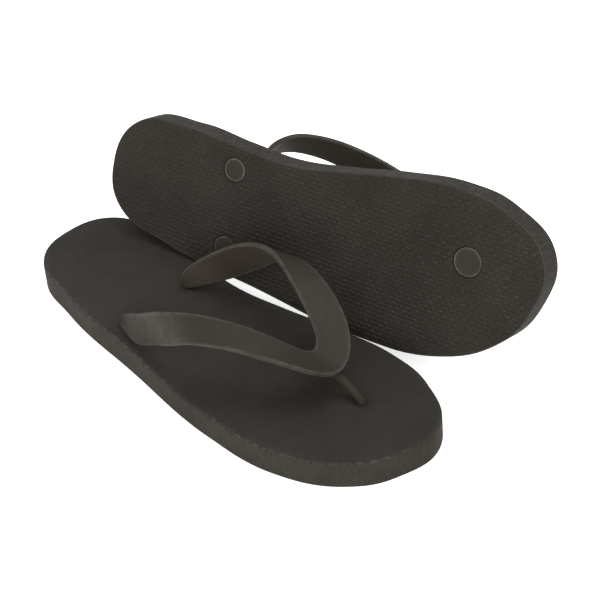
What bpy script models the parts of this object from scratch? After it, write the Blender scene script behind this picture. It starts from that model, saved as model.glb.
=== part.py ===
"""A pair of thong sandals: the right one lies flat on its sole, the left one stands on its lateral edge.

Each sandal has a slab sole, a moulded thong strap, a toe post and two side anchors. The sole is split
across the ball of the foot, where it bends. Metres, +Z up, +X towards the toes of the lying sandal.
The origin is on the floor, under the middle of the lying sole.
"""

import math

import bmesh
import bpy
from mathutils import Matrix, Vector

PAIR_NAME = "flip_flop_pair"

# Sole slab
SOLE_LENGTH = 0.285
SOLE_THICKNESS = 0.0175
SOLE_EDGE_RADIUS = 0.0025
SOLE_EDGE_STEPS = 1
OUTLINE_STEPS = 6
# Right sole seen from above, clockwise from the heel: x from the heel's end, y towards the other foot.
SOLE_OUTLINE = (
    (0.0, 0.0020),
    (0.0130, 0.0323),
    (0.0510, 0.0388),
    (0.0840, 0.0360),
    (0.1180, 0.0341),
    (0.1520, 0.0387),
    (0.1865, 0.0452),
    (0.2260, 0.0493),
    (0.2560, 0.0440),
    (0.2830, 0.0231),
    (0.2805, -0.0080),
    (0.2643, -0.0314),
    (0.2290, -0.0495),
    (0.1790, -0.0532),
    (0.1080, -0.0445),
    (0.0430, -0.0348),
    (0.0080, -0.0215),
)
FLEX_LINE_X = 0.205
GAP = 0.0003
CUT_REACH = 0.02

# Anchors: a stem in a hole through the sole and a round disc let into the underside. x is from the heel's end.
TOE_HOLE = (0.2385, 0.0095)
SIDE_DISCS = {"lateral": (0.0836, -0.0263), "medial": (0.0840, 0.0216)}
# Where the side stems leave the footbed. The lying sandal's strap leans outwards and bends its stems with it.
SIDE_STEM_TOPS = {
    "right": {"lateral": (0.0880, -0.0312), "medial": (0.0935, 0.0150)},
    "left": SIDE_DISCS,
}
TOE_STEM_RADIUS = 0.0027
TOE_DISC_RADIUS = 0.0086
SIDE_STEM_RADIUS = 0.0028
SIDE_DISC_RADIUS = 0.0070
DISC_THICKNESS = 0.0024
DISC_RECESS = 0.0003
SIDE_STEM_TOP = 0.0170
STEM_FOOT = 0.0020
TURNED_STEPS = 24
# The footbed is dimpled round the toe hole, where the post leans out of it.
DIMPLE_RADIUS = 0.0055
DIMPLE_DEPTH = 0.0020

# Thong strap. Its own axes: u forward from midway between the side holes to the toe hole, v outward, z up.
# A station is an (upper edge, lower edge) pair. Stations run from an arm's end to just before the nose.
STRAP_THICKNESS = 0.0028
STRAP_COLUMNS = 3
STRAP_STEPS = 4
STRAP_BASE = (0.0875, -0.0055)
# The lying sandal's arms are mirror images, except that the lateral end is splayed and the medial one turned in.
RIGHT_LATERAL_END = (
    ((-0.0040, 0.0230, 0.0205), (-0.0015, 0.0280, 0.0200)),
    ((0.0030, 0.0260, 0.0275), (0.0210, 0.0365, 0.0208)),
)
RIGHT_MEDIAL_END = (
    ((0.0045, 0.0200, 0.0210), (0.0105, 0.0190, 0.0200)),
    ((0.0065, 0.0210, 0.0280), (0.0175, 0.0220, 0.0208)),
)
RIGHT_ARM = (
    ((0.0195, 0.0310, 0.0395), (0.0330, 0.0345, 0.0255)),
    ((0.0430, 0.0350, 0.0555), (0.0530, 0.0405, 0.0395)),
    ((0.0660, 0.0320, 0.0630), (0.0710, 0.0440, 0.0520)),
    ((0.0890, 0.0215, 0.0580), (0.0950, 0.0380, 0.0555)),
    ((0.1100, 0.0110, 0.0470), (0.1215, 0.0260, 0.0490)),
    ((0.1178, 0.0055, 0.0415), (0.1352, 0.0140, 0.0395)),
)
RIGHT_NOSE = ((0.1200, 0.0, 0.0390), (0.1395, 0.0, 0.0335))
# The standing sandal's strap has flopped back towards the heel, and the floor presses its lateral arm in.
LEFT_LATERAL_END = (
    ((-0.0085, 0.0192, 0.0204), (-0.0035, 0.0214, 0.0200)),
    ((-0.0060, 0.0215, 0.0270), (0.0090, 0.0270, 0.0212)),
)
LEFT_MEDIAL_END = (
    ((-0.0033, 0.0261, 0.0204), (0.0017, 0.0285, 0.0200)),
    ((-0.0050, 0.0268, 0.0285), (0.0056, 0.0314, 0.0225)),
)
LEFT_LATERAL_ARM = (
    ((0.0060, 0.0267, 0.0375), (0.0195, 0.0291, 0.0285)),
    ((0.0125, 0.0310, 0.0480), (0.0255, 0.0332, 0.0372)),
    ((0.0235, 0.0283, 0.0545), (0.0335, 0.0354, 0.0455)),
    ((0.0495, 0.0172, 0.0530), (0.0560, 0.0297, 0.0490)),
    ((0.0830, 0.0107, 0.0470), (0.0930, 0.0221, 0.0455)),
    ((0.1125, 0.0055, 0.0405), (0.1310, 0.0130, 0.0365)),
)
LEFT_MEDIAL_ARM = (
    ((-0.0046, 0.0280, 0.0375), (0.0055, 0.0366, 0.0290)),
    ((0.0020, 0.0309, 0.0478), (0.0080, 0.0405, 0.0380)),
    ((0.0128, 0.0304, 0.0550), (0.0172, 0.0433, 0.0468)),
    ((0.0350, 0.0270, 0.0553), (0.0438, 0.0414, 0.0500)),
    ((0.0765, 0.0165, 0.0490), (0.0825, 0.0318, 0.0470)),
    ((0.1125, 0.0055, 0.0405), (0.1310, 0.0130, 0.0365)),
)
LEFT_NOSE = ((0.1180, 0.0, 0.0387), (0.1370, 0.0, 0.0332))

# Toe post, from under the strap's nose to the toe hole, in the strap's axes
POST_PATH = (
    (0.1336, 0.0, 0.0300),
    (0.1398, 0.0, 0.0270),
    (0.1462, 0.0, 0.0228),
    (0.1508, 0.0, 0.0186),
)
POST_STRAIGHT_TOP = 0.0154
POST_STEPS = 3
STEM_BEVEL_STEPS = 2

# Left sandal: rolled onto its lateral edge and leaning back, its heel edge against the lying one
LEFT_ROLL = math.radians(-114.6)
LEFT_PITCH = math.radians(-1.5)
LEFT_YAW = math.radians(12.6)
LEFT_PLACE = (0.0141, 0.0351, 0.0528)

SOLE_COLOUR = (0.041, 0.038, 0.033, 1.0)
STRAP_COLOUR = (0.055, 0.047, 0.037, 1.0)
ANCHOR_COLOUR = (0.058, 0.049, 0.038, 1.0)


def new_collection(name):
    collection = bpy.data.collections.new(name)
    bpy.context.scene.collection.children.link(collection)
    return collection


def material(name, colour, roughness):
    made = bpy.data.materials.new(name)
    made.use_nodes = True
    shader = made.node_tree.nodes["Principled BSDF"]
    shader.inputs["Base Color"].default_value = colour
    shader.inputs["Roughness"].default_value = roughness
    shader.inputs["Metallic"].default_value = 0.0
    return made


def add_object(name, data, collection, parent, look=None):
    made = bpy.data.objects.new(name, data)
    collection.objects.link(made)
    made.parent = parent
    if look:
        made.data.materials.append(look)
    return made


def hide_helper(helper):
    helper.hide_render = True
    helper.display_type = "WIRE"
    return helper


def mesh_from_curve(curve, name):
    """The curve's evaluated shape as a closed mesh with its caps welded."""
    holder = bpy.data.objects.new(name, curve)
    bpy.context.scene.collection.objects.link(holder)
    bpy.context.view_layer.update()
    graph = bpy.context.evaluated_depsgraph_get()
    mesh = bpy.data.meshes.new_from_object(holder.evaluated_get(graph))
    bpy.data.objects.remove(holder)
    shape = bmesh.new()
    shape.from_mesh(mesh)
    bmesh.ops.remove_doubles(shape, verts=shape.verts, dist=0.00001)
    bmesh.ops.recalc_face_normals(shape, faces=shape.faces)
    shape.to_mesh(mesh)
    shape.free()
    return mesh


def sole_slab_mesh(side, name):
    """The whole sole: a smooth outline, extruded, with rounded top and bottom edges."""
    curve = bpy.data.curves.new(name, "CURVE")
    curve.dimensions = "2D"
    curve.fill_mode = "BOTH"
    curve.resolution_u = OUTLINE_STEPS
    curve.extrude = SOLE_THICKNESS / 2 - SOLE_EDGE_RADIUS
    curve.bevel_depth = SOLE_EDGE_RADIUS
    curve.bevel_resolution = SOLE_EDGE_STEPS
    curve.offset = -SOLE_EDGE_RADIUS
    outline = SOLE_OUTLINE if side > 0 else SOLE_OUTLINE[::-1]
    spline = curve.splines.new("BEZIER")
    spline.bezier_points.add(len(outline) - 1)
    for point, (x, y) in zip(spline.bezier_points, outline):
        point.co = (x, side * y, 0.0)
        point.handle_left_type = "AUTO"
        point.handle_right_type = "AUTO"
    spline.use_cyclic_u = True
    mesh = mesh_from_curve(curve, name)
    mesh.transform(Matrix.Translation((0.0, 0.0, SOLE_THICKNESS / 2)))
    return mesh


def box_mesh(name, low, high):
    mesh = bpy.data.meshes.new(name)
    shape = bmesh.new()
    size = Vector(high) - Vector(low)
    middle = (Vector(high) + Vector(low)) / 2
    place = Matrix.Translation(middle) @ Matrix.Diagonal(size.to_4d())
    bmesh.ops.create_cube(shape, size=1.0, matrix=place)
    shape.to_mesh(mesh)
    shape.free()
    return mesh


def turned_object(name, profile, place, collection, parent, look=None):
    """A solid of revolution about Z. The profile runs from the top, down the outer side, to the bottom."""
    mesh = bpy.data.meshes.new(name)
    points = [(radius, 0.0, height) for radius, height in profile]
    mesh.from_pydata(points, [(i, i + 1) for i in range(len(points) - 1)], [])
    turned = add_object(name, mesh, collection, parent, look)
    turned.location = place
    screw = turned.modifiers.new("turn", "SCREW")
    screw.axis = "Z"
    screw.steps = TURNED_STEPS
    screw.render_steps = TURNED_STEPS
    screw.use_merge_vertices = True
    screw.merge_threshold = 0.00001
    screw.use_smooth_shade = False
    return turned


def tube_mesh(name, route, radius):
    """A closed round bar along the points of the route."""
    curve = bpy.data.curves.new(name, "CURVE")
    curve.dimensions = "3D"
    curve.bevel_depth = radius
    curve.bevel_resolution = STEM_BEVEL_STEPS
    curve.use_fill_caps = True
    spline = curve.splines.new("POLY")
    spline.points.add(len(route) - 1)
    for point, place in zip(spline.points, route):
        point.co = (*place, 1.0)
    return mesh_from_curve(curve, name)


def disc_profile(disc_radius):
    disc_top = DISC_RECESS + DISC_THICKNESS
    return ((0.0, disc_top), (disc_radius, disc_top), (disc_radius, DISC_RECESS), (0.0, DISC_RECESS))


def recess_profile(disc_radius):
    """The recess for a disc: GAP larger all round, and open below."""
    recess_top = DISC_RECESS + DISC_THICKNESS + GAP
    wall = disc_radius + GAP
    return ((0.0, recess_top), (wall, recess_top), (wall, -CUT_REACH), (0.0, -CUT_REACH))


def toe_hole_profile():
    """The post's hole, straight down to its disc's recess, and flared at the footbed for the dimple."""
    hole = TOE_STEM_RADIUS + GAP
    return (
        (0.0, SOLE_THICKNESS + CUT_REACH),
        (DIMPLE_RADIUS, SOLE_THICKNESS + CUT_REACH),
        (DIMPLE_RADIUS, SOLE_THICKNESS),
        (hole, SOLE_THICKNESS - DIMPLE_DEPTH),
        (hole, STEM_FOOT),
        (0.0, STEM_FOOT),
    )


def side_stem_line(foot, side, name, top, bottom):
    """The stem's straight line from its disc to where it leaves the footbed, cut to two heights."""
    (x_disc, y_disc), (x_top, y_top) = SIDE_DISCS[name], SIDE_STEM_TOPS[foot][name]
    foot_point = Vector((x_disc, side * y_disc, STEM_FOOT))
    head_point = Vector((x_top, side * y_top, SIDE_STEM_TOP))
    span = SIDE_STEM_TOP - STEM_FOOT
    return [foot_point.lerp(head_point, (height - STEM_FOOT) / span) for height in (top, bottom)]


def cut(target, operation, cutter):
    modifier = target.modifiers.new(cutter.name, "BOOLEAN")
    modifier.operation = operation
    modifier.solver = "EXACT"
    modifier.object = cutter


def add_sole(foot, side, parts, cutters, base, toe_hinge, look):
    """The two halves of the sole, either side of the flex line, with the holes that belong to each."""
    slab = sole_slab_mesh(side, foot + "_slab")
    low = Vector((-CUT_REACH, -SOLE_LENGTH, -CUT_REACH))
    high = Vector((SOLE_LENGTH + CUT_REACH, SOLE_LENGTH, SOLE_THICKNESS + CUT_REACH))
    rear_box = box_mesh(foot + "_rear_box", low, (FLEX_LINE_X - GAP / 2, *high.yz))
    toe_box = box_mesh(foot + "_toe_box", (FLEX_LINE_X + GAP / 2, *low.yz), high)
    rear_cutters = []
    for name, (x, y) in SIDE_DISCS.items():
        recess = turned_object(
            f"{foot}_{name}_recess", recess_profile(SIDE_DISC_RADIUS), (x, side * y, 0.0), cutters, base
        )
        line = side_stem_line(foot, side, name, SOLE_THICKNESS + CUT_REACH, STEM_FOOT)
        tube = tube_mesh(f"{foot}_{name}_hole", line, SIDE_STEM_RADIUS + GAP)
        rear_cutters += [recess, add_object(tube.name, tube, cutters, base)]
    toe_place = (TOE_HOLE[0], side * TOE_HOLE[1], 0.0)
    toe_cutters = [
        turned_object(f"{foot}_toe_recess", recess_profile(TOE_DISC_RADIUS), toe_place, cutters, base),
        turned_object(f"{foot}_toe_hole", toe_hole_profile(), toe_place, cutters, base),
    ]
    for half, box, parent, holes in (
        ("rear", rear_box, base, rear_cutters),
        ("toe", toe_box, toe_hinge, toe_cutters),
    ):
        sole = add_object(f"{foot}_sole_{half}", slab.copy(), parts, parent, look)
        if parent is toe_hinge:
            sole.location = -toe_hinge.location
        keeper = hide_helper(add_object(f"{foot}_{half}_keep", box, cutters, base))
        cut(sole, "INTERSECT", keeper)
        for cutter in holes:
            cut(sole, "DIFFERENCE", hide_helper(cutter))


def smooth_path(points, steps):
    """Points on a smooth curve through the given ones, with steps spans between each two."""
    points = [Vector(point) for point in points]
    ends = [2 * points[0] - points[1], *points, 2 * points[-1] - points[-2]]
    path = []
    for i in range(len(points) - 1):
        before, start, end, after = ends[i : i + 4]
        for k in range(steps):
            t = k / steps
            bend = 2 * before - 5 * start + 4 * end - after
            twist = 3 * start - before - 3 * end + after
            path.append(0.5 * (2 * start + t * (end - before) + t * t * bend + t**3 * twist))
    path.append(points[-1])
    return path


def strap_frame(side):
    """Carries a point from the strap's axes to the sandal's."""
    forward = Vector(TOE_HOLE) - Vector(STRAP_BASE)
    turn = Matrix.Rotation(math.atan2(forward.y, forward.x), 4, "Z")
    mirror = Matrix.Scale(side, 4, (0.0, 1.0, 0.0))
    return mirror @ Matrix.Translation((*STRAP_BASE, 0.0)) @ turn


def strap_shapes():
    """Each foot's (lateral stations, nose, medial stations)."""
    right_lateral = [*RIGHT_LATERAL_END, *RIGHT_ARM]
    right_medial = [*RIGHT_MEDIAL_END, *RIGHT_ARM]
    left_lateral = [*LEFT_LATERAL_END, *LEFT_LATERAL_ARM]
    left_medial = [*LEFT_MEDIAL_END, *LEFT_MEDIAL_ARM]
    return {
        "right": (right_lateral, RIGHT_NOSE, right_medial),
        "left": (left_lateral, LEFT_NOSE, left_medial),
    }


def add_strap(foot, side, parts, base, look):
    """The thong band: a ruled surface between its two edges, given its thickness on both sides."""
    lateral, nose, medial = strap_shapes()[foot]
    edges = []
    for edge in (0, 1):
        outward = [(u, -v, z) for u, v, z in (station[edge] for station in lateral)]
        inward = [station[edge] for station in medial][::-1]
        edges.append(smooth_path([*outward, nose[edge], *inward], STRAP_STEPS))
    frame = strap_frame(side)
    shape = bmesh.new()
    rows = []
    for upper, lower in zip(*edges):
        row = [frame @ upper.lerp(lower, k / STRAP_COLUMNS) for k in range(STRAP_COLUMNS + 1)]
        rows.append([shape.verts.new(point) for point in row])
    for row, following in zip(rows, rows[1:]):
        for k in range(STRAP_COLUMNS):
            shape.faces.new((row[k], row[k + 1], following[k + 1], following[k]))
    mesh = bpy.data.meshes.new(foot + "_strap")
    bmesh.ops.recalc_face_normals(shape, faces=shape.faces)
    shape.to_mesh(mesh)
    shape.free()
    strap = add_object(foot + "_strap", mesh, parts, base, look)
    solidify = strap.modifiers.new("thickness", "SOLIDIFY")
    solidify.thickness = STRAP_THICKNESS
    solidify.offset = 0.0
    solidify.use_even_offset = True
    mesh.shade_smooth()
    mesh.set_sharp_from_angle(angle=math.radians(40))


def add_anchor(name, route, disc_place, stem_radius, disc_radius, parts, cutters, base, look, hinge=None):
    """A stem along the route with its disc joined on below."""
    anchor = add_object(name, tube_mesh(name, route, stem_radius), parts, hinge or base, look)
    if hinge:
        anchor.location = -hinge.location
    disc = turned_object(name + "_disc", disc_profile(disc_radius), (*disc_place, 0.0), cutters, base)
    cut(anchor, "UNION", hide_helper(disc))


def add_side_anchors(foot, side, parts, cutters, base, look):
    for name, (x, y) in SIDE_DISCS.items():
        line = side_stem_line(foot, side, name, SIDE_STEM_TOP, STEM_FOOT)
        radii = (SIDE_STEM_RADIUS, SIDE_DISC_RADIUS)
        add_anchor(f"{foot}_anchor_{name}", line, (x, side * y), *radii, parts, cutters, base, look)


def add_toe_post(foot, side, parts, cutters, base, toe_hinge, look):
    """The post leans back from the toe hole to the strap's nose."""
    frame = strap_frame(side)
    place = (TOE_HOLE[0], side * TOE_HOLE[1])
    leaning = [frame @ Vector(point) for point in POST_PATH]
    route = smooth_path([*leaning, (*place, POST_STRAIGHT_TOP), (*place, STEM_FOOT)], POST_STEPS)
    radii = (TOE_STEM_RADIUS, TOE_DISC_RADIUS)
    add_anchor(foot + "_toe_post", route, place, *radii, parts, cutters, base, look, toe_hinge)


def add_sandal(foot, side, place, parts, cutters, looks):
    """One sandal under an empty at its heel. Its toe pieces hang from an empty on the flex axis."""
    base = bpy.data.objects.new(foot + "_sandal", None)
    parts.objects.link(base)
    toe_hinge = bpy.data.objects.new(foot + "_flex_axis", None)
    parts.objects.link(toe_hinge)
    toe_hinge.parent = base
    toe_hinge.location = (FLEX_LINE_X, 0.0, SOLE_THICKNESS)
    add_sole(foot, side, parts, cutters, base, toe_hinge, looks["sole"])
    add_strap(foot, side, parts, base, looks["strap"])
    add_side_anchors(foot, side, parts, cutters, base, looks["anchor"])
    add_toe_post(foot, side, parts, cutters, base, toe_hinge, looks["anchor"])
    base.matrix_world = place


def build():
    for item in list(bpy.data.objects):
        bpy.data.objects.remove(item, do_unlink=True)
    parts = new_collection(PAIR_NAME)
    cutters = new_collection(PAIR_NAME + "_cutters")
    looks = {
        "sole": material("sole_foam", SOLE_COLOUR, 0.75),
        "strap": material("strap_rubber", STRAP_COLOUR, 0.5),
        "anchor": material("anchor_rubber", ANCHOR_COLOUR, 0.45),
    }
    middle = Matrix.Translation((-SOLE_LENGTH / 2, 0.0, 0.0))
    lean = (
        Matrix.Translation(LEFT_PLACE)
        @ Matrix.Rotation(LEFT_YAW, 4, "Z")
        @ Matrix.Rotation(LEFT_PITCH, 4, "Y")
        @ Matrix.Rotation(LEFT_ROLL, 4, "X")
    )
    add_sandal("right", 1, middle, parts, cutters, looks)
    add_sandal("left", -1, middle @ lean, parts, cutters, looks)


build()
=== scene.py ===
"""A pair of rubber thong sandals in soft studio light.

The right sandal lies flat and the left one stands on its edge. Each is built in its own axes: x from the
heel's end to the toes, y towards the big toe (mirrored for the left foot), z up from the underside.
Shapes are made in millimetres and placed in metres.
"""

import math

import bpy
import numpy as np
from mathutils import Matrix, Vector, noise
from mathutils.geometry import delaunay_2d_cdt


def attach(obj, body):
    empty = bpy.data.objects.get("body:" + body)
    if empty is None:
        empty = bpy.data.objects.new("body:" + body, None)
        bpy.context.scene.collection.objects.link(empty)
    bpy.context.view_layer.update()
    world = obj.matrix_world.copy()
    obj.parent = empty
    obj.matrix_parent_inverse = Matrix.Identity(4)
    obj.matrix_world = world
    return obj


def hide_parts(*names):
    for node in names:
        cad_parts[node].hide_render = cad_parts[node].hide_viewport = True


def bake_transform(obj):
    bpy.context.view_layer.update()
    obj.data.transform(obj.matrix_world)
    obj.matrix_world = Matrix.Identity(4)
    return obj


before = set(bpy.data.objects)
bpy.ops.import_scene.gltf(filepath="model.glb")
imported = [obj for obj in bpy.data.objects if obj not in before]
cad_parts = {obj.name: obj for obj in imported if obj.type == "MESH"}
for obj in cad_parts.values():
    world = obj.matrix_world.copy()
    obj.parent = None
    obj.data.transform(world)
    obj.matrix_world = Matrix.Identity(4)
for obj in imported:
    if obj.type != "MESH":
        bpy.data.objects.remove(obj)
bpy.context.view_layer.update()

MM = 0.001
RIGHT_FOOT, LEFT_FOOT = 1, -1  # which way a sandal's y points

# ---------------------------------------------------------------- where the two sandals are
SOLE_LENGTH = 285.0
LEFT_ROLL, LEFT_PITCH, LEFT_YAW = math.radians(-114.6), math.radians(-1.5), math.radians(12.6)
LEFT_PLACE = (0.0141, 0.0351, 0.0528)
RIGHT_MATRIX = Matrix.Translation((-SOLE_LENGTH * MM / 2, 0, 0))
LEFT_MATRIX = (
    RIGHT_MATRIX
    @ Matrix.Translation(LEFT_PLACE)
    @ Matrix.Rotation(LEFT_YAW, 4, "Z")
    @ Matrix.Rotation(LEFT_PITCH, 4, "Y")
    @ Matrix.Rotation(LEFT_ROLL, 4, "X")
)
SANDALS = {"right": (RIGHT_FOOT, RIGHT_MATRIX), "left": (LEFT_FOOT, LEFT_MATRIX)}
NOISE_SEEDS = {"right": 5.0, "left": 16.0}

# ---------------------------------------------------------------- sole
THICKNESS = 17.5
TOP_RADIUS = 1.8
BOTTOM_RADIUS = 0.7
SOLE_OUTLINE = (
    (0.0, 2.0),
    (13.0, 32.3),
    (51.0, 38.8),
    (84.0, 36.0),
    (118.0, 34.1),
    (152.0, 38.7),
    (186.5, 45.2),
    (226.0, 49.3),
    (256.0, 44.0),
    (283.0, 23.1),
    (280.5, -8.0),
    (264.3, -31.4),
    (229.0, -49.5),
    (179.0, -53.2),
    (108.0, -44.5),
    (43.0, -34.8),
    (8.0, -21.5),
)
RIM_POINTS = 900
FOOTBED_INSET = 6.5
FOOTBED_SPACING = 3.2
WALL_RINGS = 14
EDGE_RINGS = 5
WALL_ROUGHNESS = 0.06  # how far the cut foam of the side wall wanders in and out
WALL_WANDER = ((14.0, 1.0, 0), (3.2, 0.6, 3), (1.4, 0.35, 7))  # size of the noise, its share and its seed
FOOTBED_RINGS = ((FOOTBED_INSET, 0.0), (4.6, 0.05), (2.8, 0.15))  # inset and wear inside the top edge
FOOTBED_UNEVENNESS = 0.10
FOOTBED_SWELL = 32.0
TREAD_DEPTH = 0.24
TREAD_INSET = 1.0
TREAD_TURN = math.radians(-2.5)
ROW_PITCH = 2.6
BAR_PITCH = 4.9
BAR_LENGTH = 4.25
BAR_WIDTH = 1.85
BAR_SHORTEST = 1.3
BAR_MARGIN = 0.2  # from a bar's end to the rim or to a plug's border
ROW_MARGIN = 0.15  # from a row's side to the same
BAR_SIDES = 10
BAR_SQUARENESS = 0.62  # 1 is an ellipse, 0 a rectangle
BAR_SHOULDER = (0.22, 0.26, 0.08)  # how far in from the bar's ends and sides, and how far up
BAR_CROWN = (0.62, 0.56, 0.0)
BAR_WEAR = 0.10
BAR_GLINTS = (0, 1, 0.35, 0, 0, 0, 0, 0, 0, 0)  # where round a bar its painted glint is: a pale speck standing in for a highlight
GLINT_SEED = 11
GLINT_PATCH = 26.0  # size of the patches where the painted glints are brighter or fainter than others
TOE_HOLE = (238.5, 9.5)
SIDE_DISCS = {"lateral": (83.6, -26.3), "medial": (84.0, 21.6)}
SIDE_STEM_TOPS = {
    "right": {"lateral": (88.0, -31.2), "medial": (93.5, 15.0)},
    "left": SIDE_DISCS,
}
TOE_DISC_RADIUS = 8.6
SIDE_DISC_RADIUS = 7.0
DISC_THICKNESS = 2.4
DISC_RECESS = 0.3
DISC_EDGE_RADIUS = 0.45
DISC_BORDER = 0.5  # plain ground round a disc's recess
GAP = 0.3
RECESS_GAP = 0.45
RECESS_DEPTH = DISC_RECESS + DISC_THICKNESS + GAP
RECESS_SEGMENTS = 48
TOE_DIMPLE = (1.7, 4.2)  # depth and reach of the hollow round the post
SIDE_DIMPLE = (0.9, 4.5)
DIMPLE_CIRCLES = ((0.15, 8), (0.4, 16), (0.7, 20), (1.05, 24), (1.45, 28))  # share of the reach, and points

# ---------------------------------------------------------------- strap, u forward, v outward, z up
# A station is an (upper edge, lower edge) pair. Stations run from an arm's end to just before the nose.
STRAP_THICKNESS = 2.8
STRAP_BASE = (87.5, -5.5)
RIGHT_LATERAL_END = (((-4.0, 23.0, 20.5), (-1.5, 28.0, 20.0)), ((3.0, 26.0, 27.5), (21.0, 36.5, 20.8)))
RIGHT_MEDIAL_END = (((4.5, 20.0, 21.0), (10.5, 19.0, 20.0)), ((6.5, 21.0, 28.0), (17.5, 22.0, 20.8)))
RIGHT_ARM = (
    ((19.5, 31.0, 39.5), (33.0, 34.5, 25.5)),
    ((43.0, 35.0, 55.5), (53.0, 40.5, 39.5)),
    ((66.0, 32.0, 63.0), (71.0, 44.0, 52.0)),
    ((89.0, 21.5, 58.0), (95.0, 38.0, 55.5)),
    ((110.0, 11.0, 47.0), (121.5, 26.0, 49.0)),
    ((117.8, 5.5, 41.5), (135.2, 14.0, 39.5)),
)
RIGHT_NOSE = ((120.0, 0.0, 39.0), (139.5, 0.0, 33.5))
LEFT_LATERAL_END = (((-8.5, 19.2, 20.4), (-3.5, 21.4, 20.0)), ((-6.0, 21.5, 27.0), (9.0, 27.0, 21.2)))
LEFT_MEDIAL_END = (((-3.3, 26.1, 20.4), (1.7, 28.5, 20.0)), ((-5.0, 26.8, 28.5), (5.6, 31.4, 22.5)))
LEFT_LATERAL_ARM = (
    ((6.0, 26.7, 37.5), (19.5, 29.1, 28.5)),
    ((12.5, 31.0, 48.0), (25.5, 33.2, 37.2)),
    ((23.5, 28.3, 54.5), (33.5, 35.4, 45.5)),
    ((49.5, 17.2, 53.0), (56.0, 29.7, 49.0)),
    ((83.0, 10.7, 47.0), (93.0, 22.1, 45.5)),
    ((112.5, 5.5, 40.5), (131.0, 13.0, 36.5)),
)
LEFT_MEDIAL_ARM = (
    ((-4.6, 28.0, 37.5), (5.5, 36.6, 29.0)),
    ((2.0, 30.9, 47.8), (8.0, 40.5, 38.0)),
    ((12.8, 30.4, 55.0), (17.2, 43.3, 46.8)),
    ((35.0, 27.0, 55.3), (43.8, 41.4, 50.0)),
    ((76.5, 16.5, 49.0), (82.5, 31.8, 47.0)),
    ((112.5, 5.5, 40.5), (131.0, 13.0, 36.5)),
)
LEFT_NOSE = ((118.0, 0.0, 38.7), (137.0, 0.0, 33.2))
STRAP_STEP = 1.2
STRAP_SAMPLE = 0.5
STRAP_SOFTNESS = 5  # how far a change of direction is spread along the band, in samples
STRAP_CURVE_STEPS = 40
STRAP_EDGE_RADIUS = 0.7
STRAP_CORNER_RADIUS = 2.2
STRAP_CROWN = 0.35
STRAP_END_DROP = 2.4  # the ends come down into the hollows round the stems
STRAP_FACE_COLUMNS = 12
STRAP_TIP_ROWS = (0.0, 0.08, 0.3, 0.7, 1.2, 1.7, 2.2)
STRAP_FIRST_ROW = 3.0
STRAP_TIP_THICKNESS = 0.25  # share of the band's thickness at its very end
CORNER_STEPS = 4
RUBBER_ANGLE = 50  # degrees; a sharper edge than this stays sharp
POST_ROUTE = (
    (127.5, 0.0, 35.2),
    (130.8, 0.0, 32.6),
    (134.6, 0.0, 29.8),
    (139.8, 0.0, 27.0),
    (146.2, 0.0, 22.8),
    (150.8, 0.0, 18.6),
)
POST_RADII = (2.2, 3.2, 3.0, 2.75, 2.7, 2.75, 2.9, 2.7)
POST_STEPS = 8
STEM_STEPS = 6
STEM_HEAD = 1.4  # how far the stem goes on into the strap's end
STEM_TAPER = ((0, 2.8), (0.55, 2.8), (0.8, 1.6), (1, 1.2))  # share of the length, and radius
TUBE_SIDES = 24


# ---------------------------------------------------------------- shape tools
class Shape:
    """Points and faces of one piece, in millimetres, with a value of wear and painted sheen per point and a
    look per face.
    """

    def __init__(self):
        self.points, self.wear, self.faces, self.looks = [], [], [], []

    def add(self, points, wear=0.0):
        """The numbers of the new points."""
        first = len(self.points)
        self.points += [tuple(p) for p in points]
        count = len(self.points) - first
        self.wear += list(np.broadcast_to(np.asarray(wear, float), (count,)))
        return np.arange(first, first + count)

    def face(self, corners, look=0):
        self.faces.append(tuple(int(c) for c in corners))
        self.looks.append(look)

    def bridge(self, ring, following, look=0):
        """Quads between two closed rings of the same size."""
        for i in range(len(ring)):
            j = (i + 1) % len(ring)
            self.face((ring[i], ring[j], following[j], following[i]), look)

    def cap(self, ring, look=0):
        self.face(ring, look)


def place_shape(shape, name, side, matrix, materials, smooth_angle=35):
    """The shape as an object. Its attributes hold the sandal's own coordinates, and the wear together with
    painted glints and highlights.
    """
    local = np.array(shape.points, float) * (1, side, 1) * MM
    world = local @ np.array(matrix)[:3, :3].T + np.array(matrix)[:3, 3]
    faces = shape.faces if side > 0 else [face[::-1] for face in shape.faces]
    mesh = bpy.data.meshes.new(name)
    mesh.from_pydata(world, [], faces)
    own_places = mesh.attributes.new("local", "FLOAT_VECTOR", "POINT")
    own_places.data.foreach_set("vector", local.astype(np.float32).ravel())
    wear = mesh.attributes.new("wear", "FLOAT", "POINT")
    wear.data.foreach_set("value", np.array(shape.wear, np.float32))
    for look in materials:
        mesh.materials.append(look)
    mesh.polygons.foreach_set("material_index", shape.looks)
    mesh.validate()
    mesh.shade_smooth()
    mesh.set_sharp_from_angle(angle=math.radians(smooth_angle))
    made = bpy.data.objects.new(name, mesh)
    bpy.context.scene.collection.objects.link(made)
    return made


def smooth_path(points, steps):
    """Points on a smooth curve through the given ones, with steps spans between each two."""
    points = np.array(points, float)
    ends = np.vstack([2 * points[0] - points[1], points, 2 * points[-1] - points[-2]])
    path = []
    for i in range(len(points) - 1):
        before, start, end, after = ends[i : i + 4]
        for t in np.arange(steps) / steps:
            bend = 2 * before - 5 * start + 4 * end - after
            twist = 3 * start - before - 3 * end + after
            path.append(0.5 * (2 * start + t * (end - before) + t * t * bend + t**3 * twist))
    path.append(points[-1])
    return np.array(path)


def softened(path, spread):
    """The evenly spaced path with its changes of direction spread out, and its end points kept."""
    reach = 3 * spread
    weights = np.exp(-0.5 * (np.arange(-reach, reach + 1) / spread) ** 2)
    longer = np.vstack([2 * path[0] - path[reach:0:-1], path, 2 * path[-1] - path[-2 : -reach - 2 : -1]])
    return np.stack([np.convolve(column, weights / weights.sum(), "valid") for column in longer.T], 1)


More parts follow.
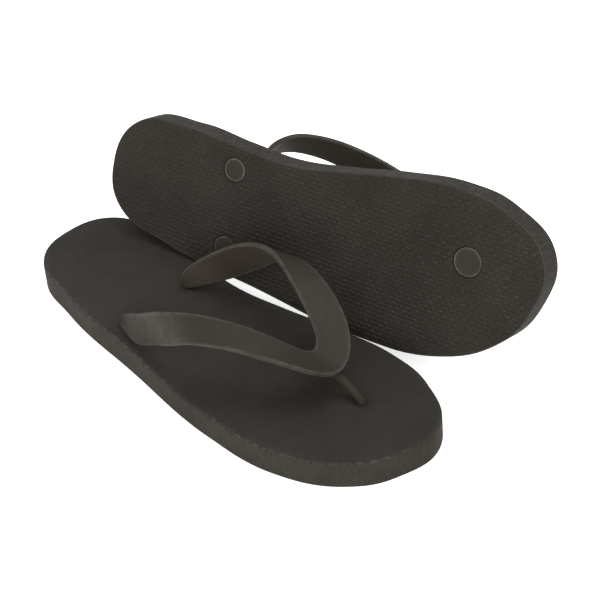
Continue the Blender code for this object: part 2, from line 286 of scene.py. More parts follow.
def unit(vectors):
    return vectors / np.maximum(np.linalg.norm(vectors, axis=-1, keepdims=True), 1e-12)


def noise_at(points, size, seed=0.0):
    """Smooth noise from -1 to 1 at each point, with features of about that size in millimetres."""
    return np.array([noise.noise(Vector(p) / size + Vector((seed, -seed, 2 * seed))) for p in points])


def circle(centre, radius, count, height=None):
    turns = np.arange(count) * 2 * math.pi / count
    ring = np.stack([centre[0] + radius * np.cos(turns), centre[1] + radius * np.sin(turns)], 1)
    return ring if height is None else np.column_stack([ring, np.full(count, height)])


# ---------------------------------------------------------------- sole
def sole_outline():
    """The sole's outline as an even closed ring, anticlockwise, with its outward normals."""
    curve = bpy.data.curves.new("outline", "CURVE")
    curve.dimensions = "2D"
    curve.resolution_u = 30
    spline = curve.splines.new("BEZIER")
    spline.bezier_points.add(len(SOLE_OUTLINE) - 1)
    for point, (x, y) in zip(spline.bezier_points, SOLE_OUTLINE[::-1]):
        point.co = (x, y, 0)
        point.handle_left_type = point.handle_right_type = "AUTO"
    spline.use_cyclic_u = True
    holder = bpy.data.objects.new("outline", curve)
    bpy.context.scene.collection.objects.link(holder)
    graph = bpy.context.evaluated_depsgraph_get()
    mesh = bpy.data.meshes.new_from_object(holder.evaluated_get(graph))
    ring = np.array([v.co.xy for v in mesh.vertices])
    bpy.data.objects.remove(holder)
    bpy.data.meshes.remove(mesh)
    closed = np.vstack([ring, ring[:1]])
    along = np.concatenate([[0], np.cumsum(np.linalg.norm(np.diff(closed, axis=0), axis=1))])
    at = np.arange(RIM_POINTS) * along[-1] / RIM_POINTS
    even = np.stack([np.interp(at, along, closed[:, k]) for k in (0, 1)], 1)
    area = np.sum(even[:, 0] * np.roll(even[:, 1], -1) - even[:, 1] * np.roll(even[:, 0], -1))
    if area < 0:
        even = even[::-1]
    tangent = unit(np.roll(even, -3, axis=0) - np.roll(even, 3, axis=0))
    return even, np.stack([tangent[:, 1], -tangent[:, 0]], 1)


def fill(shape, ring, ring_points, inner, inner_heights, wear, look, drop=None, loops=()):
    """Triangles between a closed ring that is already in the shape and the points inside it.

    loops are runs of inner points that bound holes. drop(triangles) says which triangles to leave out.
    """
    places = np.vstack([ring_points, inner])
    size = len(ring_points)
    edges = [(i, (i + 1) % size) for i in range(size)]
    for loop in loops:
        edges += [(size + loop[i], size + loop[(i + 1) % len(loop)]) for i in range(len(loop))]
    _, _, triangles, sources, _, _ = delaunay_2d_cdt([Vector(p) for p in places], edges, [], 1, 1e-5, True)
    new = shape.add(np.column_stack([inner, inner_heights]), wear)
    numbers = np.concatenate([ring, new])
    first = np.array([source[0] if source else -1 for source in sources])
    corners = first[np.array(triangles)]
    keep = (corners >= 0).all(1) & inside(ring_points, places[corners].mean(1))
    if drop is not None:
        keep &= ~drop(corners - size)
    for a, b, c in corners[keep]:
        shape.face((numbers[a], numbers[b], numbers[c]), look)
    return new


def inside(polygon, points):
    """Which of the points are inside the closed polygon."""
    x, y = points[:, 0], points[:, 1]
    found = np.zeros(len(points), bool)
    for (x0, y0), (x1, y1) in zip(polygon, np.roll(polygon, -1, axis=0)):
        crosses = (y0 > y) != (y1 > y)
        if crosses.any():
            found ^= crosses & (x < (x1 - x0) * (y - y0) / (y1 - y0 + 1e-12) + x0)
    return found


def spans_on_line(polygon, height, discs):
    """Where the line y = height runs inside the polygon and clear of the discs, as (start, end) pairs."""
    hits = []
    for (x0, y0), (x1, y1) in zip(polygon, np.roll(polygon, -1, axis=0)):
        if (y0 > height) != (y1 > height):
            hits.append(x0 + (height - y0) * (x1 - x0) / (y1 - y0))
    hits.sort()
    spans = list(zip(hits[::2], hits[1::2]))
    for (x, y), radius in discs:
        reach = radius**2 - (height - y) ** 2
        if reach <= 0:
            continue
        reach = math.sqrt(reach)
        cut = []
        for start, end in spans:
            cut += [(start, min(end, x - reach)), (max(start, x + reach), end)]
        spans = [(start, end) for start, end in cut if end > start]
    return spans


def both(spans, others):
    found = [(max(a, c), min(b, d)) for a, b in spans for c, d in others]
    return [(a, b) for a, b in found if b > a]


def tread_bars(border, discs):
    """Each tread bar's centre and half length, in staggered rows, and the turn of the rows."""
    c, s = math.cos(TREAD_TURN), math.sin(TREAD_TURN)
    turn = np.array([[c, s], [-s, c]])
    turned = border @ turn.T
    turned_discs = [(turn @ np.array(centre), radius) for centre, radius in discs]
    bars = []
    rows = range(int(turned[:, 1].min() / ROW_PITCH) - 1, int(turned[:, 1].max() / ROW_PITCH) + 2)
    for row in rows:
        y = row * ROW_PITCH
        half = BAR_WIDTH / 2 + ROW_MARGIN
        below = spans_on_line(turned, y - half, turned_discs)
        above = spans_on_line(turned, y + half, turned_discs)
        spans = both(below, above)
        shift = BAR_PITCH / 2 if row % 2 else 0.0
        for start, end in spans:
            for k in range(int((start - shift) / BAR_PITCH) - 1, int((end - shift) / BAR_PITCH) + 2):
                middle = k * BAR_PITCH + shift
                low = max(start + BAR_MARGIN, middle - BAR_LENGTH / 2)
                high = min(end - BAR_MARGIN, middle + BAR_LENGTH / 2)
                if high - low >= BAR_SHORTEST:
                    bars.append((turn.T @ np.array(((low + high) / 2, y)), (high - low) / 2))
    return bars, turn.T


def bar_ring(half_length, half_width):
    """A long rounded ring about the origin."""
    turns = (np.arange(BAR_SIDES) + 0.5) * 2 * math.pi / BAR_SIDES
    c, s = np.cos(turns), np.sin(turns)
    x = np.sign(c) * np.abs(c) ** BAR_SQUARENESS * half_length
    y = np.sign(s) * np.abs(s) ** BAR_SQUARENESS * half_width
    return np.stack([x, y], 1)


def add_bar_ring(shape, centre, half, turn, inwards, wear):
    """One of a bar's rings: inwards is how far in from its ends and its sides, and its height."""
    from_end, from_side, height = inwards
    flat = bar_ring(half - from_end, BAR_WIDTH / 2 - from_side) @ turn.T + centre
    return shape.add(np.column_stack([flat, np.full(BAR_SIDES, height)]), wear)


def add_tread(shape, ring, ring_points, discs):
    """The underside: a flat ground with raised bars, and a round recess for each disc."""
    bars, turn = tread_bars(ring_points, [(centre, radius + GAP + DISC_BORDER) for centre, radius in discs])
    inner, loops, owner = [], [], []
    for number, (centre, half) in enumerate(bars):
        inner.append(bar_ring(half, BAR_WIDTH / 2) @ turn.T + centre)
        loops.append(range(number * BAR_SIDES, (number + 1) * BAR_SIDES))
        owner += [number] * BAR_SIDES
    for number, (centre, radius) in enumerate(discs):
        start = len(owner)
        inner.append(circle(centre, radius + RECESS_GAP, RECESS_SEGMENTS))
        loops.append(range(start, start + RECESS_SEGMENTS))
        owner += [-2 - number] * RECESS_SEGMENTS
    inner = np.vstack(inner)
    heights = np.full(len(inner), TREAD_DEPTH)
    owner = np.array(owner)

    def in_one_loop(triangles):
        """Triangles with all three corners on the same bar or recess are inside it."""
        whose = np.where(triangles >= 0, owner[np.clip(triangles, 0, None)], -1)
        return (whose[:, 0] != -1) & (whose[:, 0] == whose[:, 1]) & (whose[:, 1] == whose[:, 2])

    new = fill(shape, ring, ring_points, inner, heights, 0.0, TREAD, in_one_loop, loops)
    chance = np.random.default_rng(GLINT_SEED)
    patches = noise_at([(*centre, 0.0) for centre, _ in bars], GLINT_PATCH, 2.0)
    for number, (centre, half) in enumerate(bars):
        base = new[number * BAR_SIDES : (number + 1) * BAR_SIDES]
        # Painted glint: a pale speck on one side of each bar's shoulder stands in for a highlight, stronger
        # towards the toes and in patches.
        towards_toes = min(1.0, 0.15 + 0.85 * centre[0] / SOLE_LENGTH)
        glint_strength = chance.random() ** 1.8 * towards_toes * (0.75 + 0.5 * patches[number])
        worn_and_sheen = BAR_WEAR + 0.9 * glint_strength * np.array(BAR_GLINTS)
        shoulder = add_bar_ring(shape, centre, half, turn, BAR_SHOULDER, worn_and_sheen)
        crown = add_bar_ring(shape, centre, half, turn, BAR_CROWN, worn_and_sheen * 0.25)
        shape.bridge(base[::-1], shoulder[::-1], TREAD)
        shape.bridge(shoulder[::-1], crown[::-1], TREAD)
        shape.cap(crown[::-1], TREAD)
    for number, (centre, radius) in enumerate(discs):
        start = len(bars) * BAR_SIDES + number * RECESS_SEGMENTS
        mouth = new[start : start + RECESS_SEGMENTS]
        roof = shape.add(circle(centre, radius + RECESS_GAP, RECESS_SEGMENTS, RECESS_DEPTH))
        shape.bridge(mouth[::-1], roof[::-1], TREAD)
        shape.cap(roof[::-1], TREAD)


def footbed_height(points, hollows, seed):
    """The footbed, with soft hollows round the stems and a hardly visible unevenness."""
    level = np.column_stack([points, np.zeros(len(points))])
    height = THICKNESS + FOOTBED_UNEVENNESS * noise_at(level, FOOTBED_SWELL, seed)
    for centre, (depth, reach) in hollows:
        away = np.linalg.norm(points - np.array(centre), axis=1)
        height = height - depth * np.exp(-((away / reach) ** 2) * 1.6)
    return height


FOOTBED, WALL, TREAD = 0, 1, 2


def side_rings():
    """Inset, height, and wear and painted sheen of each ring, from the footbed over the edge and down to
    the tread.
    """
    rings = [(inset, THICKNESS, worn_and_sheen) for inset, worn_and_sheen in FOOTBED_RINGS]
    # Both rounded edges are paler at their middles: rubbed wear, and a painted highlight along each edge.
    for k in range(EDGE_RINGS + 1):
        turn = k / EDGE_RINGS * math.pi / 2
        inset, drop = TOP_RADIUS * (1 - math.sin(turn)), TOP_RADIUS * (1 - math.cos(turn))
        rings.append((inset, THICKNESS - drop, 0.2 + 0.8 * math.sin(2 * turn) if turn < 1.2 else 0.1))
    top, bottom = THICKNESS - TOP_RADIUS, BOTTOM_RADIUS
    rings += [(0.0, top + (bottom - top) * k / WALL_RINGS, 0.0) for k in range(1, WALL_RINGS)]
    for k in range(EDGE_RINGS + 1):
        turn = (1 - k / EDGE_RINGS) * math.pi / 2
        inset, rise = BOTTOM_RADIUS * (1 - math.sin(turn)), BOTTOM_RADIUS * (1 - math.cos(turn))
        rings.append((inset, rise, 0.5 * math.sin(2 * turn)))
    return rings + [(BOTTOM_RADIUS + 0.15, 0.0, 0.2), (TREAD_INSET, 0.15, 0.1)]


def side_look(height):
    if height > THICKNESS - 0.6 * TOP_RADIUS:
        return FOOTBED
    return TREAD if height < 0.4 * BOTTOM_RADIUS else WALL


def add_side(shape, outline, outward, seed):
    """The sole's edge and side wall. The numbers and the places of the points of each ring."""
    rings = side_rings()
    made, places = [], []
    for inset, height, worn_and_sheen in rings:
        flat = outline - outward * inset
        heights = np.full(len(flat), height)
        if inset < BOTTOM_RADIUS:
            at = np.column_stack([flat, heights])
            wander = sum(share * noise_at(at, size, seed + more) for size, share, more in WALL_WANDER)
            fade = 1 - inset / BOTTOM_RADIUS
            flat = flat + outward * (wander * WALL_ROUGHNESS * fade)[:, None]
        made.append(shape.add(np.column_stack([flat, heights]), worn_and_sheen))
        places.append(flat)
    for number, (ring, following) in enumerate(zip(made, made[1:])):
        middle = (rings[number][1] + rings[number + 1][1]) / 2
        shape.bridge(following, ring, side_look(middle))
    return made, places


def footbed_grid(border, hollows):
    """Points all over the footbed, in circles round the hollows."""
    low, high = border.min(0), border.max(0)
    grid = []
    for row, y in enumerate(np.arange(low[1], high[1], FOOTBED_SPACING * 0.87)):
        xs = np.arange(low[0] + (row % 2) * FOOTBED_SPACING / 2, high[0], FOOTBED_SPACING)
        grid.append(np.column_stack([xs, np.full(len(xs), y)]))
    grid = np.vstack(grid)
    for centre, (_, reach) in hollows:
        grid = grid[np.linalg.norm(grid - np.array(centre), axis=1) > reach * 2.0]
        grid = np.vstack([grid, *(circle(centre, reach * share, count) for share, count in DIMPLE_CIRCLES)])
    return grid


def sole_shape(foot, seed):
    outline, outward = sole_outline()
    hollows = [(TOE_HOLE, TOE_DIMPLE), *((top, SIDE_DIMPLE) for top in SIDE_STEM_TOPS[foot].values())]
    shape = Shape()
    made, places = add_side(shape, outline, outward, seed)
    grid = footbed_grid(places[0], hollows)
    margin = outline - outward * (FOOTBED_INSET + 1.0)
    grid = grid[inside(margin, grid)]
    fill(shape, made[0], places[0], grid, footbed_height(grid, hollows, seed), 0.0, FOOTBED)
    discs = [(TOE_HOLE, TOE_DISC_RADIUS), *((centre, SIDE_DISC_RADIUS) for centre in SIDE_DISCS.values())]
    add_tread(shape, made[-1], places[-1], discs)
    return shape


# ---------------------------------------------------------------- strap
def strap_axes(points):
    """Carries points from the strap's axes to the sandal's."""
    forward = np.array(TOE_HOLE) - np.array(STRAP_BASE)
    c, s = forward / np.linalg.norm(forward)
    points = np.asarray(points, float)
    x = STRAP_BASE[0] + c * points[..., 0] - s * points[..., 1]
    y = STRAP_BASE[1] + s * points[..., 0] + c * points[..., 1]
    return np.stack([x, y, points[..., 2]], -1)


def arm_edge(stations, edge):
    """One edge of an arm, with its end let down into the sole."""
    (u, v, z), *others = (station[edge] for station in stations)
    return [(u, v, z - STRAP_END_DROP), *others]


def strap_edges(foot):
    """The band's two edges from the lateral end, round the nose, to the medial end."""
    if foot == "right":
        nose = RIGHT_NOSE
        lateral, medial = (*RIGHT_LATERAL_END, *RIGHT_ARM), (*RIGHT_MEDIAL_END, *RIGHT_ARM)
    else:
        nose = LEFT_NOSE
        lateral, medial = (*LEFT_LATERAL_END, *LEFT_LATERAL_ARM), (*LEFT_MEDIAL_END, *LEFT_MEDIAL_ARM)
    edges = []
    for edge in (0, 1):
        outward = [(u, -v, z) for u, v, z in arm_edge(lateral, edge)]
        inward = arm_edge(medial, edge)[::-1]
        edges.append(strap_axes(smooth_path([*outward, nose[edge], *inward], STRAP_CURVE_STEPS)))
    return edges


def strap_section(width, thickness):
    """The band's rounded section as (across, through, wear and sheen) rows, once round."""
    radius = min(STRAP_EDGE_RADIUS, 0.49 * thickness, 0.49 * width)
    half_width, half = width / 2, thickness / 2
    rows = []
    for across, through, start in ((1, 1, 0), (-1, 1, 90), (-1, -1, 180), (1, -1, 270)):
        for k in range(CORNER_STEPS + 1):
            turn = math.radians(start + 90 * k / CORNER_STEPS)
            a = across * (half_width - radius) + radius * math.cos(turn)
            b = through * (half - radius) + radius * math.sin(turn)
            # The rounded corners are paler: rubbed wear, and a painted highlight along the band's edges.
            rows.append((a, b, 1.0 if 0 < k < CORNER_STEPS else 0.5))
        if start in (0, 180):
            inner = np.linspace(across, -across, STRAP_FACE_COLUMNS + 2)[1:-1] * (half_width - radius)
            rows += [(a, through * half, 0.0) for a in inner]
    return np.array(rows)


STRAP_OUTER, STRAP_INNER = 0, 1


def quarter_round(share):
    """The height of a quarter circle, from 0 to 1, a share of the way along it."""
    return math.sqrt(max(0.0, 1 - (1 - share) ** 2))


def at_lengths(lengths, along, path):
    """The path's points at the given lengths, where along is the length at each of its own points."""
    return np.stack([np.interp(lengths, along, column) for column in path.T], -1)


def strap_shape(foot):
    upper, lower = strap_edges(foot)
    for _ in range(2):
        middle = (upper + lower) / 2
        along = np.concatenate([[0], np.cumsum(np.linalg.norm(np.diff(middle, axis=0), axis=1))])
        total = along[-1]
        even = np.linspace(0, total, int(total / STRAP_SAMPLE))
        upper, lower = (softened(at_lengths(even, along, edge), STRAP_SOFTNESS) for edge in (upper, lower))
    tip = np.array(STRAP_TIP_ROWS)
    rows = np.linspace(STRAP_FIRST_ROW, total - STRAP_FIRST_ROW, int(total / STRAP_STEP))
    at = np.concatenate([tip, rows, total - tip[::-1]])
    tangents = [at_lengths(at, even, np.gradient(edge, even, axis=0)) for edge in (upper, lower)]
    shape = Shape()
    made = []
    for number, s in enumerate(at):
        top, foot_edge = at_lengths(s, even, upper), at_lengths(s, even, lower)
        across = foot_edge - top
        width = np.linalg.norm(across)
        end = min(s, total - s)
        inset, thin = 0.0, 1.0
        if end < STRAP_CORNER_RADIUS:
            inset = STRAP_CORNER_RADIUS * (1 - quarter_round(end / STRAP_CORNER_RADIUS))
        half = STRAP_THICKNESS / 2
        if end < half:
            thin = STRAP_TIP_THICKNESS + (1 - STRAP_TIP_THICKNESS) * quarter_round(end / half)
        section = strap_section(max(width - 2 * inset, 1.0), STRAP_THICKNESS * thin)
        share = 0.5 + section[:, 0] / width
        surface = top + share[:, None] * across
        slope = tangents[0][number] * (1 - share[:, None]) + tangents[1][number] * share[:, None]
        normal = unit(np.cross(slope, across))
        crown = STRAP_CROWN * np.clip(1 - (2 * section[:, 0] / width) ** 2, 0, 1) * thin
        points = surface + normal * (section[:, 1] + crown)[:, None]
        made.append(shape.add(points, section[:, 2]))
    # The faces turned to the foot get a lighter, browner copy of the strap rubber: a browner reverse side,
    # and painted fill light where those faces lie in shade.
    facing_foot = (section[:, 1] > 0) & (np.roll(section[:, 1], -1) > 0)
    for ring, following in zip(made, made[1:]):
        shape.bridge(ring, following)
        shape.looks[-len(ring) :] = np.where(facing_foot, STRAP_INNER, STRAP_OUTER).tolist()
    shape.cap(made[0][::-1])
    shape.cap(made[-1])
    return shape


# ---------------------------------------------------------------- stems and discs
def add_tube(shape, route, radii):
    """A round bar along the route, closed at both ends."""
    route = np.asarray(route, float)
    tangent = unit(np.gradient(route, axis=0))
    sideways = unit(np.cross(tangent[0], (0.31, 0.95, 0.11)))
    turns = np.arange(TUBE_SIDES) * 2 * math.pi / TUBE_SIDES
    made = []
    for place, forward, radius in zip(route, tangent, radii):
        sideways = unit(sideways - forward * (sideways @ forward))
        other = np.cross(forward, sideways)
        ring = place + radius * (np.cos(turns)[:, None] * sideways + np.sin(turns)[:, None] * other)
        made.append(shape.add(ring))
    for ring, following in zip(made, made[1:]):
        shape.bridge(ring, following)
    shape.cap(made[0][::-1])
    shape.cap(made[-1])


def add_disc(shape, centre, radius):
    """A flat round plug face with a softly rounded rim and a shallow raised border, facing down."""
    top = DISC_RECESS + DISC_THICKNESS
    edge = DISC_EDGE_RADIUS
    profile = [(radius, top), (radius, DISC_RECESS + edge)]
    for k in range(1, 4):
        turn = k / 4 * math.pi / 2
        profile.append((radius - edge * (1 - math.cos(turn)), DISC_RECESS + edge * (1 - math.sin(turn))))
    profile += [
        (radius - edge, DISC_RECESS),
        (radius - 0.85, DISC_RECESS),
        (radius - 1.05, DISC_RECESS + 0.10),
        (radius - 1.6, DISC_RECESS + 0.13),
        (radius * 0.5, DISC_RECESS + 0.10),
        (radius * 0.22, DISC_RECESS + 0.08),
    ]
    # The rim rings are paler: rubbed wear, and a painted highlight round the rim.
    worn_and_sheen = [0.0, 0.1, 0.7, 1.0, 1.0, 1.0, 0.8, 0.2, 0.05, 0.0, 0.0]
    made = [shape.add(circle(centre, r, 2 * RECESS_SEGMENTS, z), w) for (r, z), w in zip(profile, worn_and_sheen)]
    for ring, following in zip(made, made[1:]):
        shape.bridge(following, ring)
    shape.cap(made[0])
    shape.cap(made[-1][::-1])


def side_plug_shape(foot, name):
    """A side stem with its disc. Its head is buried in the end of the strap."""
    shape = Shape()
    foot_point = np.array((*SIDE_DISCS[name], 2.0))
    top = np.array((*SIDE_STEM_TOPS[foot][name], 17.0))
    head = top + (0, 0, STEM_HEAD)
    route = smooth_path([foot_point, (foot_point + top) / 2, top, head], STEM_STEPS)
    radii = np.interp(np.linspace(0, 1, len(route)), *zip(*STEM_TAPER))
    add_tube(shape, route, radii)
    add_disc(shape, SIDE_DISCS[name], SIDE_DISC_RADIUS)
    return shape


def toe_post_shape():
    """The toe post from inside the strap's nose to its disc."""
    shape = Shape()
    leaning = strap_axes(POST_ROUTE)
    straight = [(*TOE_HOLE, 15.0), (*TOE_HOLE, 2.0)]
    route = smooth_path([*leaning, *straight], POST_STEPS)
    radii = np.interp(np.arange(len(route)) / POST_STEPS, range(len(POST_RADII)), POST_RADII)
    add_tube(shape, route, radii)
    add_disc(shape, TOE_HOLE, TOE_DISC_RADIUS)
    return shape


# ---------------------------------------------------------------- materials
class Nodes:
    """A short way to build a node tree."""

    def __init__(self, name):
        self.material = bpy.data.materials.new(name)
        self.material.use_nodes = True
        self.tree = self.material.node_tree
        self.shader = next(n for n in self.tree.nodes if n.type == "BSDF_PRINCIPLED")

    def add(self, kind, **inputs):
        node = self.tree.nodes.new(kind)
        for key, value in inputs.items():
            if hasattr(node, key) and key not in node.inputs:
                setattr(node, key, value)
            else:
                self.feed(node.inputs[key], value)
        return node

    def feed(self, socket, value):
        if isinstance(value, bpy.types.NodeSocket):
            self.tree.links.new(value, socket)
        else:
            socket.default_value = value

    def attribute(self, name, output="Vector"):
        node = self.add("ShaderNodeAttribute")
        node.attribute_name = name
        return node.outputs[output]

    def noise(self, where, scale, detail=2.0, roughness=0.5):
        node = self.add("ShaderNodeTexNoise", Scale=scale, Detail=detail, Roughness=roughness)
        self.feed(node.inputs["Vector"], where)
        return node.outputs["Fac"]

    def cells(self, where, scale, feature="F1"):
        node = self.add("ShaderNodeTexVoronoi", Scale=scale)
        node.feature = feature
        self.feed(node.inputs["Vector"], where)
        return node.outputs["Distance"]

    def ramp(self, value, low, high, to_low=0.0, to_high=1.0):
        node = self.add("ShaderNodeMapRange")
        node.clamp = True
        node.interpolation_type = "SMOOTHSTEP"
        for socket, number in zip(node.inputs[:5], (value, low, high, to_low, to_high)):
            self.feed(socket, number)
        return node.outputs["Result"]

    def maths(self, operation, a, b):
        node = self.add("ShaderNodeMath")
        node.operation = operation
        self.feed(node.inputs[0], a)
        self.feed(node.inputs[1], b)
        return node.outputs[0]

    def mix(self, share, a, b):
        node = self.add("ShaderNodeMix")
        node.data_type = "RGBA"
        self.feed(node.inputs["Factor"], share)
        self.feed(node.inputs[6], a)
        self.feed(node.inputs[7], b)
        return node.outputs[2]

    def bump(self, height, strength, distance, before=None):
        node = self.add("ShaderNodeBump", Height=height, Strength=strength, Distance=distance)
        if before is not None:
            self.feed(node.inputs["Normal"], before)
        return node.outputs["Normal"]

    def finish(self, colour, roughness, normal, specular=0.25):
        self.feed(self.shader.inputs["Base Color"], colour)
        self.feed(self.shader.inputs["Roughness"], roughness)
        self.feed(self.shader.inputs["Normal"], normal)
        self.shader.inputs["Specular IOR Level"].default_value = specular
        return self.material


def foam_look(name, dark, light, scuff_and_glint, scuff_and_glint_share, grain, pores, rub_floor=0.0, streaks=0.0):
    """Foamed rubber: cloudy tone, fine grain, open pores, and paler scuffs where it is worn, which also
    paint glints and edge highlights.

    rub_floor is how much of the wear and painted glint shows everywhere, and not only in patches.
    streaks is how strongly a cut face shows fine lines across the sole's thickness.
    """
    n = Nodes(name)
    dark, light, scuff_and_glint = ((*colour, 1) for colour in (dark, light, scuff_and_glint))
    where = n.attribute("local")
    worn_and_sheen = n.attribute("wear", "Fac")
    clouds = n.noise(where, 22.0, 3.0, 0.6)
    patches = n.noise(where, 140.0, 4.0, 0.65)
    fine = n.noise(where, 1300.0, 2.0, 0.6)
    mottle = n.maths("ADD", n.maths("MULTIPLY", clouds, 0.65), n.maths("MULTIPLY", patches, 0.35))
    tone = n.ramp(mottle, 0.36, 0.66)
    colour = n.mix(tone, dark, light)
    speckle = n.ramp(fine, 0.56, 0.74)
    colour = n.mix(n.maths("MULTIPLY", speckle, 0.22), colour, scuff_and_glint)
    grit = n.maths("MULTIPLY", fine, grain)
    holes = n.maths("MULTIPLY", n.cells(where, 900.0), pores)
    height = n.maths("ADD", grit, holes)
    if streaks:
        squeeze = n.add("ShaderNodeMapping")
        n.feed(squeeze.inputs["Vector"], where)
        squeeze.inputs["Scale"].default_value = (1.0, 1.0, 0.16)
        lines = n.noise(squeeze.outputs["Vector"], 950.0, 3.0, 0.6)
        colour = n.mix(n.maths("MULTIPLY", n.ramp(lines, 0.48, 0.70), streaks), colour, scuff_and_glint)
        height = n.maths("ADD", height, n.maths("MULTIPLY", lines, 1.4))
    # The wear channel lightens the colour towards the pale one: real scuffs, and painted glints and edge
    # highlights.
    rub_and_sheen = n.maths("MULTIPLY", worn_and_sheen, n.ramp(n.noise(where, 420.0, 4.0, 0.7), 0.42, 0.62, rub_floor, 1.0))
    rub_and_sheen = n.maths("MULTIPLY", rub_and_sheen, n.ramp(clouds, 0.35, 0.6, 0.45, 1.0))
    colour = n.mix(n.maths("MULTIPLY", rub_and_sheen, scuff_and_glint_share), colour, scuff_and_glint)
    normal = n.bump(height, 0.55, 0.00035)
    rough = n.ramp(patches, 0.35, 0.7, 0.76, 0.92)
    return n.finish(colour, rough, normal, 0.14)


def rubber_look(name, dark, light, edge):
    """Moulded rubber: smooth and matte, with a faint cloudiness and paler edges, partly rubbed wear and
    partly a painted highlight.
    """
    n = Nodes(name)
    dark, light, edge = ((*colour, 1) for colour in (dark, light, edge))
    where = n.attribute("local")
    worn_and_sheen = n.attribute("wear", "Fac")
    clouds = n.noise(where, 24.0, 3.0, 0.55)
    fine = n.noise(where, 1500.0, 2.0, 0.5)
    colour = n.mix(n.ramp(clouds, 0.38, 0.64), dark, light)
    colour = n.mix(n.maths("MULTIPLY", n.ramp(fine, 0.55, 0.8), 0.10), colour, edge)
    rub_and_sheen = n.maths("MULTIPLY", worn_and_sheen, n.ramp(n.noise(where, 160.0, 3.0, 0.6), 0.32, 0.62, 0.25, 1.0))
    colour = n.mix(n.maths("MULTIPLY", rub_and_sheen, 0.4), colour, edge)
    swell = n.noise(where, 32.0, 2.0, 0.5)
    normal = n.bump(swell, 0.04, 0.0008)
    normal = n.bump(fine, 0.18, 0.00012, normal)
    rough = n.ramp(n.noise(where, 260.0, 3.0, 0.6), 0.35, 0.7, 0.56, 0.68)
    return n.finish(colour, rough, normal, 0.16)


WALL_GRAIN = {"grain": 0.8, "pores": 0.7}
SKIN_GRAIN = {"grain": 0.4, "pores": 0.3}
LOOKS = {
    "footbed": foam_look(
        "footbed_foam",
        (0.0252, 0.0226, 0.0193),
        (0.0332, 0.0304, 0.0262),
        (0.105, 0.095, 0.083),
        0.45,
        **SKIN_GRAIN,
    ),
    "right_wall": foam_look(
        "right_wall_foam",
        (0.0235, 0.0198, 0.0150),
        (0.0345, 0.0300, 0.0238),
        (0.105, 0.094, 0.079),
        0.4,
        **WALL_GRAIN,
        streaks=0.10,
    ),
    "left_wall": foam_look(
        "left_wall_foam",
        (0.0200, 0.0171, 0.0134),
        (0.0282, 0.0248, 0.0201),
        (0.120, 0.107, 0.090),
        0.5,
        **WALL_GRAIN,
        streaks=0.20,
    ),
    # The tread's pale colour paints the glints on its bars, as well as its scuffs.
    "tread": foam_look(
        "tread_foam",
        (0.0215, 0.0187, 0.0151),
        (0.0276, 0.0244, 0.0200),
        (0.190, 0.175, 0.155),
        0.6,
        **SKIN_GRAIN,
        rub_floor=0.6,
    ),
    # The pale third colour of the strap and the plugs marks their edges and disc rims: rubbed wear, and a
    # painted highlight.
    "strap": rubber_look(
        "strap_rubber", (0.0280, 0.0235, 0.0180), (0.0335, 0.0282, 0.0218), (0.115, 0.103, 0.088)
    ),
    # A lighter, browner copy of the strap rubber for the faces turned to the foot: painted fill light where
    # they lie in shade, and partly a browner reverse side.
    "strap_inner_painted_fill": rubber_look(
        "strap_inner_painted_fill_rubber", (0.0370, 0.0296, 0.0216), (0.0442, 0.0355, 0.0262), (0.115, 0.103, 0.088)
    ),
    "plug": rubber_look(
        "plug_rubber", (0.0262, 0.0222, 0.0154), (0.0316, 0.0270, 0.0192), (0.22, 0.205, 0.18)
    ),
}


for foot, (side, matrix) in SANDALS.items():
    rear, toes = f"{foot}_sandal", f"{foot}_forefoot"
    sole_looks = [LOOKS["footbed"], LOOKS[f"{foot}_wall"], LOOKS["tread"]]
    sole = place_shape(sole_shape(foot, NOISE_SEEDS[foot]), f"{foot}_sole", side, matrix, sole_looks)
    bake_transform(sole)
    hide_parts(f"{foot}_sole_rear", f"{foot}_sole_toe")
    strap_looks = [LOOKS["strap"], LOOKS["strap_inner_painted_fill"]]
    strap = place_shape(strap_shape(foot), f"{foot}_strap_band", side, matrix, strap_looks, RUBBER_ANGLE)
    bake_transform(strap)
    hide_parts(f"{foot}_strap")
    post = place_shape(toe_post_shape(), f"{foot}_thong_post", side, matrix, [LOOKS["plug"]], RUBBER_ANGLE)
    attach(post, toes)
    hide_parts(f"{foot}_toe_post")
    for name in SIDE_DISCS:
        stem = side_plug_shape(foot, name)
        plug = place_shape(stem, f"{foot}_plug_{name}", side, matrix, [LOOKS["plug"]], RUBBER_ANGLE)
        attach(plug, rear)
        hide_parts(f"{foot}_anchor_{name}")


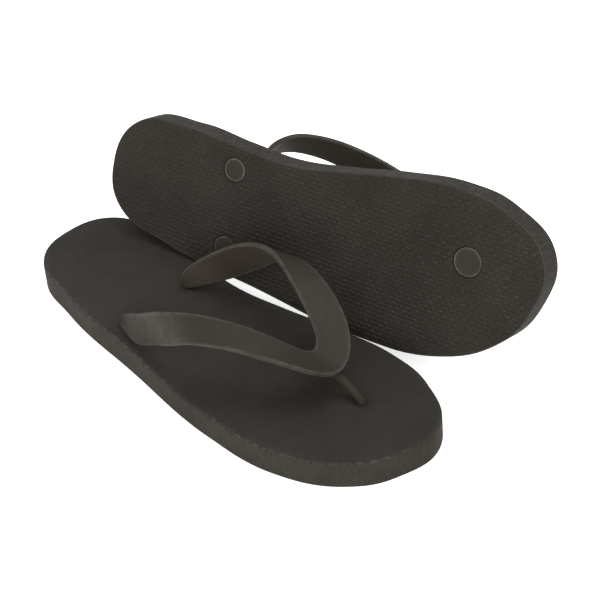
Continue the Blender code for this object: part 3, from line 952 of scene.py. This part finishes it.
# ---------------------------------------------------------------- studio
def add_floor():
    mesh = bpy.data.meshes.new("studio_floor")
    reach = 30.0
    corners = [(-reach, -reach, 0), (reach, -reach, 0), (reach, reach, 0), (-reach, reach, 0)]
    mesh.from_pydata(corners, [], [(0, 1, 2, 3)])
    floor = bpy.data.objects.new("studio_floor", mesh)
    bpy.context.scene.collection.objects.link(floor)
    look = bpy.data.materials.new("studio_white")
    look.use_nodes = True
    shader = next(n for n in look.node_tree.nodes if n.type == "BSDF_PRINCIPLED")
    shader.inputs["Base Color"].default_value = (0.92, 0.92, 0.92, 1)
    shader.inputs["Emission Color"].default_value = (1, 1, 1, 1)
    shader.inputs["Emission Strength"].default_value = 0.7
    shader.inputs["Roughness"].default_value = 0.9
    shader.inputs["Specular IOR Level"].default_value = 0.1
    mesh.materials.append(look)


def add_light(name, place, target, size, power):
    data = bpy.data.lights.new(name, "AREA")
    data.shape = "DISK"
    data.size = size
    data.energy = power
    light = bpy.data.objects.new(name, data)
    light.location = place
    light.rotation_euler = (Vector(target) - Vector(place)).to_track_quat("-Z", "Y").to_euler()
    bpy.context.scene.collection.objects.link(light)


def add_camera():
    """A long lens, looking down from the toe end on the lying sandal's outer side."""
    place = Vector((0.7271, -0.6102, 0.8754))
    target = Vector((0.0218, 0.0389, 0.0300))
    roll = math.radians(5.33)
    data = bpy.data.cameras.new("camera")
    data.lens = 134.8
    data.sensor_width = 36.0
    data.clip_start, data.clip_end = 0.05, 100
    camera = bpy.data.objects.new("camera", data)
    aim = (target - place).to_track_quat("-Z", "Y").to_matrix().to_4x4()
    camera.matrix_world = Matrix.Translation(place) @ aim @ Matrix.Rotation(-roll, 4, "Z")
    bpy.context.scene.collection.objects.link(camera)
    bpy.context.scene.camera = camera


add_floor()
add_camera()
add_light("key", (0.15, 0.55, 1.7), (0, 0.04, 0.03), 1.1, 8.5)
add_light("fill", (0.9, -1.3, 0.8), (0, 0.04, 0.05), 1.4, 6.5)
world = bpy.data.worlds.new("studio")
world.use_nodes = True
world.node_tree.nodes["Background"].inputs["Color"].default_value = (1, 1, 1, 1)
world.node_tree.nodes["Background"].inputs["Strength"].default_value = 0.98
bpy.context.scene.world = world
bpy.context.scene.view_settings.view_transform = "Standard"
